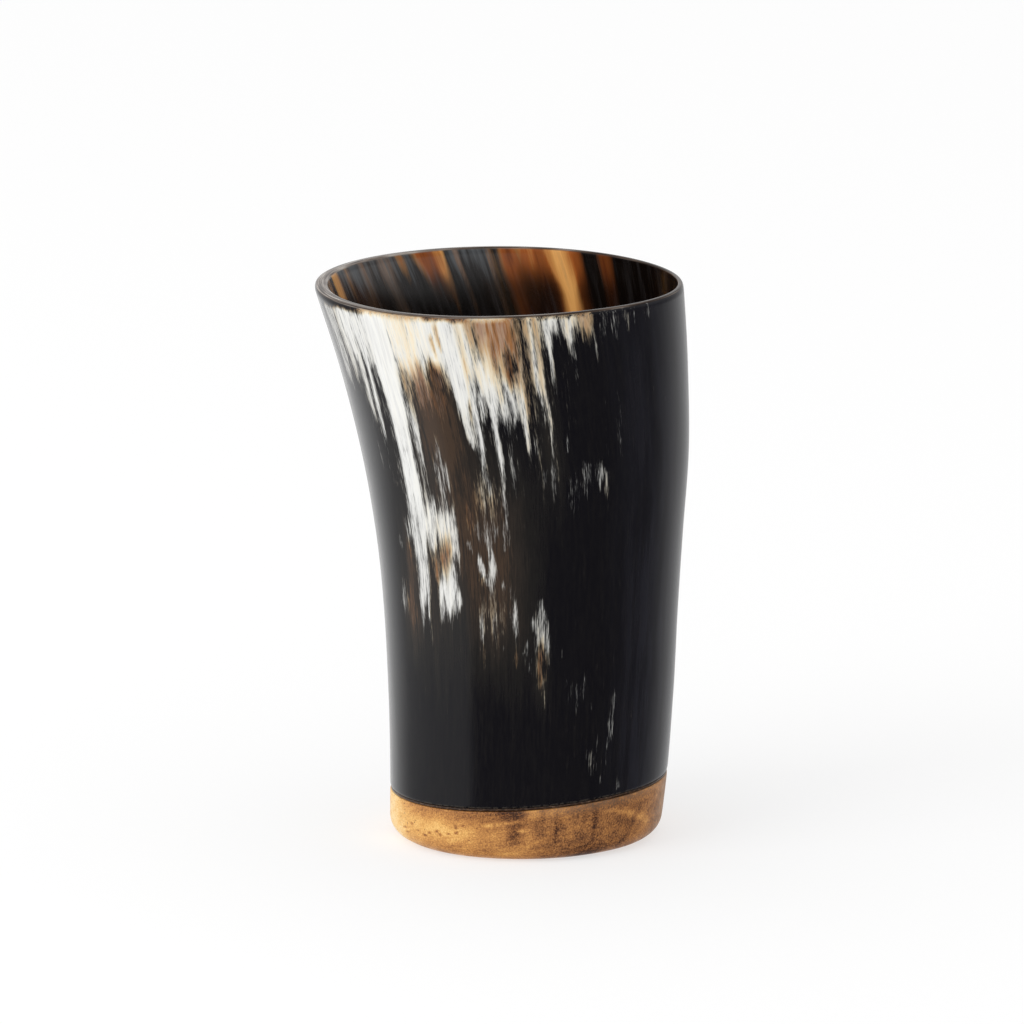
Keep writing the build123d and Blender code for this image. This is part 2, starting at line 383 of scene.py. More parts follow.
# The horn. A range says from which value to which, and what it makes of the two, or 0 and 1.
hornLook = {
    # Rings of the shape, in millimetres
    "endRound": (0.25, 0.3),  # at the seam: in from the side, and up
    "endFace": 0.6,
    "outerRings": (1.2, 3.0, 24),  # from above the horn's end to below the top, and how many
    "boreRings": (5.0, 2.5, 11),  # from below the top to above the horn's end, and how many
    "lipRings": (  # share of the wall in from the outside, and how far below the top
        (0.0, 1.3), (0.05, 0.62), (0.16, 0.2), (0.32, 0.0), (0.6, 0.0), (0.83, 0.0),
        (0.95, 0.15), (1.0, 0.5), (1.0, 1.2),
    ),
    # Coarse, middle, fine and wide fibres: across and along, in millimetres, and a shift
    "fibres": ((1.0, 18.0, 0), (0.42, 9.0, 3), (0.22, 2.6, 7), (2.6, 26.0, 11)),
    # Outside, pale horn lies over the dark
    "fibreSeeds": (3.7, 9.1),
    "wobble": (0.9, 6.0, 9.0),  # degrees that strokes waver, waves round the cup, their length
    "ground": (-1.2, 0.2),  # the dark horn that the strokes are laid on: pale, warm
    "raggedness": (1.2, 2.5, 3.1),  # how much each fibre size breaks up the strokes
    "edge": (-0.35, 1.25),
    "fall": 1.55,
    "faint": (-0.6, 1.8, 0.32, 1.0),  # weak strokes cover less
    "cloudGrain": (0.8,),
    "veil": (0.5, 1.8, 0.0, 0.42),  # how much shows through between the fibres
    "warmGrains": (0.4, 0.3, 0.25),
    "bone": (
        (0.0, (240, 240, 237)),
        (0.18, (244, 242, 234)),
        (0.34, (244, 230, 202)),
        (0.52, (216, 184, 142)),
        (0.78, (162, 112, 70)),
        (1.0, (92, 62, 44)),
    ),
    "shade": (0.36, 0.6, 0.25, 0.0),
    "shadeColour": (190, 188, 184),
    "smokeGrains": (0.6, 0.4),
    "smokeShift": 0.04,
    "dark": (
        (0.0, (20, 19, 23)),
        (0.5, (35, 33, 32)),
        (0.85, (50, 44, 40)),
        (1.0, (70, 56, 46)),
    ),
    "film": (26, 52, 90, 130),  # where the dark polish is a little cloudy, in degrees from the front
    "filmThins": 0.5,  # towards the rim
    "filmClouds": (0.3, 0.7, 0.25, 0.75),
    "filmColour": (46, 46, 53),
    # Inside, amber horn lies over the dark, and broad strokes show through from outside
    "insideEnds": (0.375, 0.25),  # from this share of the wall, over this share
    "innerLean": 0.24,  # the fibres inside lean: degrees for each millimetre below the rim
    "innerGround": (-0.6, 0.5),
    "leastWarm": 0.45,
    "broad": 5,
    "calmGrains": (0.7, 0.4),
    "lit": (0.0, 0.9, 0.3, 1.1),  # the amber is brighter where light comes in at the rim
    "amberGrains": (0.4, 0.2),
    # The amber horn's own colours, with the golden stop made brighter as painted light shining through
    # the wall
    "amber": (
        (0.0, (118, 116, 114)),
        (0.25, (190, 140, 98)),
        (0.5, (255, 188, 108)),
        (0.75, (176, 96, 42)),
        (1.0, (74, 28, 9)),
    ),
    "rimLight": (115, 13),  # painted light shining through the rim, grey on the dark horn and brighter on the amber, begins at this height, and is full this much higher
    "rimLightTurn": (172, 20),  # the painted light through the wall is strongest past this angle
    "leastRimLight": 0.1,
    "rimLightWeights": (0.9, 1.9, -0.97),  # of the painted rim light and the coarse fibres, and the start
    # the dark horn inside, turning grey where light shining through the rim is painted
    "innerDarkToLit": (
        (0.0, (13, 8, 6)),
        (0.45, (38, 35, 35)),
        (1.0, (94, 97, 100)),
    ),
    # The lip and the seam: how far below the top or above the seam it starts, and its length
    "lip": (0.5, 0.35),
    "dull": (1.8, 0.8),
    "chipped": (0.55, 0.3),
    "chips": (0.42, 0.56),
    "chipColour": (58, 53, 49),
    "lipLines": (9.0, 0.42, 1.3),  # their length and width, and how they follow the lip down
    "lipGrey": (0.22, -95),  # greyest at this angle, the thick left tip
    "lipInner": (0.18, 0.3),  # lighter at the inner edge, over this share of the wall
    "lipGrain": (2.4,),
    "lipShift": -0.29,
    "lipColours": (
        (0.0, (44, 32, 25)),
        (0.35, (92, 78, 68)),
        (0.65, (142, 132, 124)),
        (1.0, (206, 200, 190)),
    ),
    "roughness": (0.3, 0.7, 0.14, 0.22),
    "gloss": 1.45,
    "shine": (0.5, 0.14),  # on the wall, and on the lip, where the polish has worn
    "bump": (0.12, 0.05),
    # Strokes: angle from the front, top and bottom in millimetres, width in degrees, pale, warm
    "clouds": (
        (-79, 132, 100, 14, 0.2, 0.1),
        (-68, 132, 108, 9, 0.7, 0.1),
        (-62, 132, 106, 6, 0.85, 0.22),
        (-55, 132, 111, 14, 1.4, 0.04),
        (-43.6, 132, 96, 11.6, 1.9, 0.03),
        (-43.9, 100, 76, 9.4, 1.4, 0.02),
        (-33, 132, 111.4, 13.5, 1.8, 0.26),
        (-24, 132, 111.8, 9.5, 1.7, 0.16),
        (-24.5, 115.5, 109, 6, 0.4, 0.9),
        (-17, 132, 101, 8.5, 1.45, 0.03),
        (-12.5, 132, 111, 6, 1.4, 0.2),
        (-2, 132, 115, 16, 1.5, 0.78),
        (-8, 119.5, 107, 8, 1.5, 0.3),
        (1, 116, 106, 9, 1.2, 0.46),
        (-2.5, 110, 100.5, 8, 0.95, 0.03),
        (9.5, 132, 108, 6.4, 0.95, 0.5),
        (15.5, 132, 120, 7.4, 1.25, 0.14),
        (22, 132, 119.5, 7.4, 1.1, 0.22),
        (27.3, 132, 120.5, 6.4, 1.1, 0.6),
        (-38.6, 84, 70, 17.6, 1.25, 0.12),
        (-29.4, 79.5, 69, 6, 1.2, 0.1),
        (-49.5, 79, 71, 4, 0.5, 0.05),
        (-44.5, 88, 70, 7, 1.4, 0.0),
        (-33.2, 73.5, 64, 7, 0.75, 0.76),
        (-34, 66.5, 55.5, 12.2, 1.25, 0.03),
        (-25.5, 112, 101, 9, 0.5, 0.95),
        (-31, 113, 100, 6.5, 1.0, 0.9),
        (-14.5, 91, 80, 13, 0.2, 0.42),
        (-16, 80, 72.5, 11, 0.05, 0.0),
        (-52, 88.5, 83, 4, 0.15, 0.35),
        (-55, 73, 69, 4.5, 0.3, 0.05),
        (-49.5, 72, 67, 4, 0.2, 0.75),
        (-52, 62, 53, 8, 0.2, 0.85),
        (-57.5, 61, 54, 6, 0.14, 0.0),
        (-14, 63.5, 50, 13, 0.14, 0.36),
        (4.2, 57, 43, 6.6, 0.72, 0.2),
        (-56.5, 116, 99, 7.4, 0.8, 0.1),
    ),
    "streaks": (
        (-56.3, 118, 101, 3, 1.0, 0.1),
        (-58.5, 108, 97, 2, 0.7, 0.4),
        (-52.6, 132, 92.5, 3.4, 1.3, 0.02),
        (-32, 132, 119, 2.4, 1.25, 0.36),
        (-36.5, 112, 102, 3, 0.7, 0.5),
        (-36.8, 101, 87, 3.4, 0.95, 0.05),
        (-27.5, 132, 107, 2.6, 1.4, 0.2),
        (-13.8, 132, 112, 1.6, 1.2, 0.4),
        (-13.2, 107, 89, 2.8, 1.1, 0.03),
        (-16.5, 104, 96, 3.4, 1.0, 0.1),
        (-7.4, 114, 84, 2.6, 1.25, 0.02),
        (-10.6, 111, 98.5, 2.4, 0.9, 0.05),
        (-7.6, 86, 72, 1.8, 0.5, 0.0),
        (-10.4, 132, 117, 2.2, 1.15, 0.62),
        (-4.5, 117, 106, 2.6, 1.2, 0.36),
        (3.6, 117, 101, 3, 1.1, 0.5),
        (2.6, 110, 92, 2.6, 1.1, 0.16),
        (8.6, 120, 99, 1.8, 1.1, 0.15),
        (10.8, 114, 93, 2.4, 1.05, 0.3),
        (10, 96, 80, 1.8, 0.7, 0.05),
        (14.3, 127, 112.5, 2.2, 1.15, 0.12),
        (22, 120, 111, 1.6, 0.6, 0.1),
        (29.4, 122, 113, 1.1, 0.9, 0.05),
        (-44.8, 80, 54, 6, 0.95, 0.0),
        (-45.8, 64, 49, 2.6, 1.05, 0.0),
        (-42.4, 66, 49, 2.4, 1.05, 0.0),
        (-36.8, 67, 53.5, 3, 1.1, 0.0),
        (-29.8, 65, 55, 2.4, 1.1, 0.0),
        (-35, 81, 71, 3, 1.1, 0.3),
        (-36, 85, 78, 3, 1.1, 0.05),
        (-27.4, 82, 68, 3.2, 0.85, 0.12),
        (-27.4, 61.5, 56.5, 2.4, 1.1, 0.0),
        (-30, 60, 53.5, 1.6, 0.6, 0.0),
        (-35, 60, 53.5, 1.8, 0.5, 0.0),
        (-6.4, 60, 49, 3.4, 0.66, 0.04),
        (6.2, 56, 45, 1.2, 0.6, 0.06),
    ),
    # Dark gaps, which start softly and widen on their way down
    "notches": (
        (-54.2, 117, 84, 1.8, -0.1, 0.1),
        (-48.9, 113, 80, 3.2, -0.2, 0.1),
        (-58.6, 112, 84, 3.0, -0.2, 0.1),
        (-37, 92, 84, 3, 0.0, 0.1),
        (-21.8, 107, 80, 6.8, -0.8, 0.6),
        (-31, 104, 88, 8, -0.4, 0.75),
        (-3, 102.5, 80, 6, -0.5, 0.1),
        (0.6, 119.5, 111, 2.8, 0.3, 0.8),
        (5.4, 123, 100, 2.6, 0.3, 0.6),
        (6.6, 112, 84, 3.6, -0.5, 0.2),
        (12.7, 125, 100, 1.4, -0.3, 0.2),
        (18.4, 121, 100, 4, -0.6, 0.2),
        (-39.5, 69, 50, 4.6, -0.5, 0.8),
        (-39, 76.5, 73.5, 3, 0.75, 0.1),
    ),
    "flecks": (
        (-22.2, 123.5, 119, 1.5, 1.15, 0.66),
        (-19.8, 124, 119, 1.2, 1.15, 0.66),
        (-15, 107, 102, 1.2, 0.25, 0.4),
        (-14.8, 102, 94, 1.0, 0.1, 0.1),
        (-3.5, 122, 114, 1.3, 0.8, 0.8),
        (3, 125, 113, 1.6, 0.65, 0.74),
        (-53, 127, 124, 3, 0.7, 0.1),
        (33.6, 127, 120.5, 4.4, 0.1, 0.1),
        (38, 126, 119, 4, -0.05, 0.05),
        (43, 126, 121, 4, 0.0, 0.2),
        (46.2, 126, 120.5, 2.2, 0.2, 0.0),
        (52.5, 126, 122, 2, 0.05, 0.0),
        (-30.2, 94, 84, 6.5, 0.32, 0.0),
        (-37.6, 72, 64.5, 4.6, 0.65, 0.72),
        (-28, 92.5, 86, 1.4, 0.6, 0.0),
        (-17.8, 84.5, 79.5, 1.0, 0.35, 0.6),
        (-16.4, 85.5, 80.5, 1.0, 0.45, 0.5),
        (-15, 88, 82, 1.0, 0.6, 0.25),
        (-12.8, 85, 79.5, 1.6, 0.36, 0.45),
        (-20.6, 83, 77, 3.4, 0.16, 0.8),
        (-20.1, 70.5, 66.5, 1.2, 0.6, 0.05),
        (-19, 71.5, 65.5, 1.9, 1.05, 0.05),
        (-17.8, 70, 64.5, 1.7, 1.0, 0.05),
        (-16.7, 67.5, 63, 1.4, 0.95, 0.1),
        (-15.7, 70, 62.5, 1.2, 0.8, 0.1),
        (-14.7, 73, 63.5, 1.4, 1.0, 0.02),
        (-13.6, 72.5, 65, 1.3, 0.95, 0.0),
        (-12.5, 72, 66, 1.2, 0.65, 0.0),
        (-19.9, 67, 63.5, 1.4, 0.55, 0.7),
        (-18.6, 66, 63.5, 1.3, 0.5, 0.66),
        (-22.3, 74, 71.5, 2.6, 0.32, 0.0),
        (-12, 79, 75.5, 1.7, 0.5, 0.0),
        (-9, 78, 71, 1.8, 0.35, 0.0),
        (-12.2, 90, 85, 1.4, 0.35, 0.0),
        (-10, 66, 63, 3, 0.3, 0.1),
        (-7.4, 64, 60, 1.6, 0.35, 0.1),
        (-19.2, 59, 50, 1.8, 0.6, 0.08),
        (-19, 50, 45, 2.2, 0.1, 0.6),
        (-14, 57, 52, 2, 0.28, 0.1),
        (-10.5, 51, 49, 1.4, 0.4, 0.0),
        (-6, 49.5, 44, 2.6, 0.05, 0.62),
        (1, 57.5, 53.5, 2.6, 0.35, 0.0),
        (4.8, 59, 54.5, 3, 0.35, 0.0),
        (4.2, 47, 40, 4, 0.2, 0.68),
        (4.8, 41, 36, 1.4, 0.25, 0.3),
        (-1.8, 52, 46, 1.8, 0.42, 0.0),
        (-0.5, 47.5, 42.5, 1.6, 0.42, 0.0),
        (-3.5, 50, 47.5, 1.6, 0.35, 0.0),
        (15.8, 98.8, 94, 2.2, 0.2, 0.0),
        (7.6, 92, 88, 1.4, 0.35, 0.0),
        (21.4, 92.5, 86, 3.4, 0.22, 0.0),
        (23.6, 92, 87, 1.8, 0.24, 0.0),
        (26.8, 91.5, 86, 3.6, 0.26, 0.0),
        (29.4, 92.5, 81, 2, 0.42, 0.2),
        (16.5, 89, 82, 4, 0.16, 0.0),
        (-4, 96, 88, 2.2, 0.38, 0.05),
        (5.2, 98, 93.5, 1.4, 0.38, 0.1),
        (42, 104.5, 102.5, 1, -0.1, 0.0),
        (30.4, 110, 88, 0.8, -0.1, 0.0),
        (17, 88, 80, 6, -0.1, 0.0),
        (36, 108, 96, 3, -0.2, 0.0),
        (21, 42.8, 37.5, 1.6, 0.25, 0.0),
        (12, 52, 45.5, 2.6, -0.12, 0.0),
        (15.2, 45.5, 35, 3.4, -0.1, 0.0),
        (18.6, 41, 35.5, 3, -0.12, 0.0),
        (34.7, 40, 33, 3.4, 0.12, 0.0),
        (34, 34, 26.5, 2.8, 0.16, 0.0),
        (32.6, 31.5, 21.5, 1.3, 0.22, 0.0),
        (27.8, 30.5, 21.5, 1, 0.25, 0.05),
        (25.4, 25, 19, 3.6, 0.2, 0.2),
        (23.5, 26.5, 23, 1.1, 0.14, 0.0),
        (24.8, 36, 34, 1.6, 0.12, 0.0),
        (30.5, 18.8, 17, 1.3, 0.42, 0.0),
        (39.5, 17.4, 14.8, 2.4, 0.24, 0.0),
    ),
    # The back: streaks at the rim and clusters of flecks, at random angles
    "scattered": {
        "seed": 11,
        "turn": (80, 282),
        "warm": (0, 0.5),
        "rimStrokes": 20,
        "rimTop": 132,
        "rimLength": (8, 26),
        "rimWidth": (1.2, 8),
        "rimPale": (0.3, 1.0),
        "clusters": 9,
        "flecks": (4, 11),
        "height": (40, 106),
        "spread": (4, 6),  # in degrees, and in millimetres
        "length": (3, 12),
        "width": (1, 3.6),
        "pale": (-0.1, 0.8),
    },
    "backStrokes": (
        (160, 132, 88, 15, 1.2, 0.4),
        (204, 132, 112, 8, 1.0, 0.3),
    ),
    # Smoke browns the dark horn: angle, top, bottom, width, smoke
    "smoke": (
        (-40, 100, 44, 30, 0.55),
        (-28, 113, 60, 22, 0.85),
        (-31, 113, 100, 6, 1.15),
        (-12, 92, 44, 24, 0.9),
        (-26, 114, 98, 12, 1.2),
        (-52.5, 62, 50, 11, 1.0),
        (-50.5, 74, 62, 6, 1.1),
        (-20, 86, 60, 8, 0.95),
        (4, 44, 36, 4, 0.7),
        (10, 118, 84, 6, 0.55),
    ),
    "insideStrokes": (
        (100, 134, 60, 20, -0.9, 0.9),
        (113, 134, 121, 5, 0.1, 0.9),
        (144.5, 134, 96, 7.5, 0.6, 0.9),
        (155, 134, 92, 7, 0.5, 0.9),
        (161.8, 134, 96, 10, 1.5, 0.72),
        (161.6, 134, 92, 4.6, 3.8, 0.46),
        (169.5, 134, 116, 6, 0.9, 0.82),
        (173, 134, 118, 5, 1.2, 0.7),
        (179, 134, 98, 7.5, 1.1, 0.82),
        (171.5, 121.5, 96, 11, 0.7, 1.05),
        (186, 134, 98, 2.4, 0.8, 0.06),
        (190.5, 134, 90, 5, -0.4, 0.9),
        (196.5, 134, 106, 2.4, 0.8, 0.06),
        (202.5, 134, 116, 3.6, 1.7, 0.66),
        (209, 134, 116, 8, 1.0, 0.86),
        (234, 134, 100, 32, 0.1, 0.05),
        (217, 134, 118, 3, 0.8, 0.8),
        (224, 134, 108, 5, 0.8, 0.05),
        (236, 134, 110, 3, 0.5, 0.08),
        (246, 134, 110, 4, 0.4, 0.35),
        (256, 134, 104, 6, 1.5, 0.34),
        (266, 134, 112, 6, 0.6, 0.1),
    ),
    # The lip's outer bevel is dark and ragged, or tan: angle, top, bottom, width, pale, warm
    "bevel": (
        (-80, 134, 125.4, 34, -0.8, 0.8),
        (-58, 134, 125.9, 22, -0.8, 0.8),
        (-37, 134, 125.9, 26, 1.1, 0.55),
        (-16, 134, 126.2, 16, 0.5, 0.9),
        (-4, 134, 126.3, 12, 1.2, 0.3),
        (20, 134, 126.4, 16, 0.2, 0.6),
    ),
}


def scatterStrokes(look):
    # streaks for the back, which the photograph doesn't show
    chance = np.random.RandomState(look["seed"])
    strokes = []
    for _ in range(look["rimStrokes"]):
        angle = chance.uniform(*look["turn"])
        top, length = look["rimTop"], chance.uniform(*look["rimLength"])
        width, pale = chance.uniform(*look["rimWidth"]), chance.uniform(*look["rimPale"])
        strokes.append((angle, top, top - length, width, pale, chance.uniform(*look["warm"])))
    for _ in range(look["clusters"]):
        middle, height = chance.uniform(*look["turn"]), chance.uniform(*look["height"])
        for _ in range(chance.randint(*look["flecks"])):
            top = height + chance.normal(0, look["spread"][1])
            angle = middle + chance.normal(0, look["spread"][0])
            length, width = chance.uniform(*look["length"]), chance.uniform(*look["width"])
            pale, warm = chance.uniform(*look["pale"]), chance.uniform(*look["warm"])
            strokes.append((angle, top, top - length, width, pale, warm))
    return strokes


def paintHorn(piece, place):
    # keeps what the strokes come to at each point, as attributes that the material reads
    around, heights, inWall = place["around"], place["heights"], place["inWall"]
    x, y, z = place["straight"].T
    points = len(around)
    place["fibresDown"], place["fibresUp"] = (fibresOf(place, seed) for seed in hornLook["fibreSeeds"])
    waver, reach, length = hornLook["wobble"]
    place["wobbled"] = around + waver * noiseAround(np.radians(around), heights, reach, length)

    pale = np.full(points, hornLook["ground"][0])
    warm = np.full(points, hornLook["ground"][1])
    brush((pale, warm), place, scatterStrokes(hornLook["scattered"]), soft=1.2)
    brush((pale, warm), place, hornLook["backStrokes"], soft=1.3)
    brush((pale, warm), place, hornLook["clouds"], soft=1.2, taper=0.3)
    brush((pale, warm), place, hornLook["streaks"], ragged=1.3)
    brush((pale, warm), place, hornLook["notches"], soft=1.1, raised=True)
    brush((pale, warm), place, hornLook["flecks"], soft=0.8, ragged=1.7, taper=0.4)
    brush((pale, warm), place, hornLook["bevel"], soft=0.4, ragged=0.14, taper=0.0)
    smoke = np.zeros(points)
    brush((smoke,), place, hornLook["smoke"], soft=2.5, taper=0.0)

    inside = 1 - rise(inWall, *hornLook["insideEnds"])
    lean = hornLook["innerLean"] * (cup["height"] - heights) * inside
    place["wobbled"] = place["wobbled"] + lean
    sine, cosine = np.sin(np.radians(lean)), np.cos(np.radians(lean))
    fibre = np.stack([x * cosine - y * sine, x * sine + y * cosine, z], axis=1)
    insidePale = np.full(points, hornLook["innerGround"][0])
    insideWarm = np.full(points, hornLook["innerGround"][1])
    broad = [stroke for stroke in hornLook["clouds"] if stroke[3] >= hornLook["broad"]]
    brush((insidePale, insideWarm), place, broad, soft=2.6, ragged=1.2)
    insideWarm = np.maximum(insideWarm, hornLook["leastWarm"])
    brush((insidePale, insideWarm), place, hornLook["insideStrokes"], soft=2.0, ragged=0.5, taper=0.0)

    start, full, end, gone = hornLook["film"]
    film = rise(around, start, full - start) * rise(gone - around, 0, gone - end)
    film = film * (1 - hornLook["filmThins"] * heights / cup["height"])
    # painted light that shines through the rim from behind, strongest at the back
    rimLight = rise(heights, *hornLook["rimLight"]) * inside
    litThroughWall = hornLook["leastRimLight"]
    litThroughWall += (1 - litThroughWall) * rise(around % 360, *hornLook["rimLightTurn"])
    aboveTop = heights - cup["height"]
    lip, dull = (rise(aboveTop, -start, length) for start, length in (hornLook["lip"], hornLook["dull"]))
    chipped, chippedLength = hornLook["chipped"]
    lineLength, lineWidth, follow = hornLook["lipLines"]
    lines = (inWall * place["wall"] - aboveTop * follow) / lineWidth
    grey, greyest = hornLook["lipGrey"]
    light, lightShare = hornLook["lipInner"]
    lipTone = 0.5 + grey * np.cos(np.radians(around - greyest))
    fields = {
        "pale": pale + (insidePale - pale) * inside,
        "warm": warm + (insideWarm - warm) * inside,
        "smoke": smoke,
        "film": film,
        "inside": inside,
        "rimLight": rimLight,
        "litThroughWall": rimLight * litThroughWall,
        "lip": lip,
        "dull": dull,
        "edge": rise(hornEnd + chipped - z, 0, chippedLength),
        "lipTone": lipTone + light * rise(lightShare - inWall, 0, lightShare),
    }
    for name, values in fields.items():
        keepField(piece, name, values)
    keepVector(piece, "fibre", fibre * mm)
    keepVector(piece, "lipPlace", np.stack([x / lineLength, y / lineLength, lines], axis=1))


def makeHorn():
    outer, bore = stock["outer"], stock["bore"]
    wall = outer - bore
    top, end = cup["height"], hornEnd
    inwards, up = hornLook["endRound"]
    aboveEnd, belowTop, rings = hornLook["outerRings"]
    profile = [(outer - inwards, end), (outer, end + up)]
    profile += [(outer, height) for height in np.linspace(end + aboveEnd, top - belowTop, rings)]
    profile += [(outer - share * wall, top - drop) for share, drop in hornLook["lipRings"]]
    belowTop, aboveEnd, rings = hornLook["boreRings"]
    profile += [(bore, height) for height in np.linspace(top - belowTop, end + aboveEnd, rings)]
    profile += [(bore, end + up), (bore + inwards, end)]
    profile += [(outer - hornLook["endFace"], end), (outer - inwards, end)]
    piece = turnStock("horn_cup_wall", profile, closed=True)
    paintHorn(piece, fitToHorn(piece))
    return piece


def outerHorn(tree, fields, grains):
    # pale horn over the dark, broken up into fibres at the strokes' edges
    coarse, middle, fine, wide = grains
    ragged = grained(tree, fields["pale"], (coarse, middle, fine), hornLook["raggedness"])
    mask = ramp(tree, ragged, *hornLook["edge"])
    fall = addNode(tree, "ShaderNodeMath", inputs={1: hornLook["fall"]}, operation="POWER")
    tree.links.new(mask, fall.inputs[0])
    faint = ramp(tree, fields["pale"], *hornLook["faint"])
    cloudy = grained(tree, fields["pale"], (coarse,), hornLook["cloudGrain"])
    veiled = addNode(tree, "ShaderNodeMix", inputs={3: 1.0}, data_type="FLOAT")
    covered = combine(tree, "MULTIPLY", fall.outputs[0], faint)
    tree.links.new(covered, veiled.inputs["Factor"])
    tree.links.new(ramp(tree, cloudy, *hornLook["veil"]), veiled.inputs[2])
    warmth = grained(tree, fields["warm"], (middle, coarse, fine), hornLook["warmGrains"])
    bone = colourRamp(tree, warmth, hornLook["bone"])
    shade = ramp(tree, middle, *hornLook["shade"])
    bone = blendColours(tree, shade, bone, hornLook["shadeColour"])
    weights, shift = hornLook["smokeGrains"], hornLook["smokeShift"]
    smoky = grained(tree, fields["smoke"], (middle, fine), weights, shift=shift)
    dark = colourRamp(tree, smoky, hornLook["dark"])
    clouds = ramp(tree, wide, *hornLook["filmClouds"])
    film = combine(tree, "MULTIPLY", fields["film"], clouds)
    dark = blendColours(tree, film, dark, hornLook["filmColour"])
    return blendColours(tree, veiled.outputs[0], dark, bone)


def innerHorn(tree, fields, grains):
    # amber over the dark, with painted light near the rim, shining through the wall, that greys the dark
    coarse, middle, _, wide = grains
    calm = grained(tree, fields["pale"], (wide, middle), hornLook["calmGrains"])
    lit = ramp(tree, fields["rimLight"], *hornLook["lit"])
    mask = ramp(tree, combine(tree, "MULTIPLY", calm, lit), 0.0, 1.0)
    warmth = grained(tree, fields["warm"], (wide, middle), hornLook["amberGrains"])
    amber = colourRamp(tree, warmth, hornLook["amber"])
    *weights, start = hornLook["rimLightWeights"]
    litThroughWall = sumOf(tree, zip((fields["litThroughWall"], coarse), weights), start=start)
    dark = colourRamp(tree, litThroughWall, hornLook["innerDarkToLit"])
    return blendColours(tree, mask, dark, amber)


def hornMaterial():
    material, tree, shader = newMaterial("polishedHorn")
    place = attribute(tree, "fibre", "Vector")
    names = ("pale", "warm", "smoke", "film", "inside", "lip", "rimLight", "litThroughWall", "dull", "edge", "lipTone")
    fields = {name: attribute(tree, name) for name in names}
    grains = []
    for across, along, shift in hornLook["fibres"]:
        grains.append(grainNoise(tree, place, (across, across, along), shift=(shift, 0, shift)))
    coarse, middle, fine, _ = grains
    outside, inside = outerHorn(tree, fields, grains), innerHorn(tree, fields, grains)
    colour = blendColours(tree, fields["inside"], outside, inside)
    lines = addNode(tree, "ShaderNodeTexNoise", inputs={"Scale": 1.0, "Detail": 2.0})
    tree.links.new(attribute(tree, "lipPlace", "Vector"), lines.inputs["Vector"])
    weights, shift = hornLook["lipGrain"], hornLook["lipShift"]
    tone = grained(tree, fields["lipTone"], (lines.outputs["Fac"],), weights, shift=shift)
    lipColour = colourRamp(tree, tone, hornLook["lipColours"])
    colour = blendColours(tree, fields["lip"], colour, lipColour)
    broken = ramp(tree, coarse, *hornLook["chips"])
    chips = combine(tree, "MULTIPLY", fields["edge"], broken)
    colour = blendColours(tree, chips, colour, hornLook["chipColour"])
    roughness = ramp(tree, fine, *hornLook["roughness"])
    tree.links.new(roughness, shader.inputs["Roughness"])
    shine = ramp(tree, fields["dull"], 0.0, 1.0, *hornLook["shine"])
    tree.links.new(shine, shader.inputs["Specular IOR Level"])
    endMaterial(tree, shader, hornLook, colour, middle)
    return material


horn = makeHorn()
horn.data.materials.append(hornMaterial())
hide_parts("horn_shell")
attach(horn, "root")
print("horn done:", len(horn.data.vertices), "points")

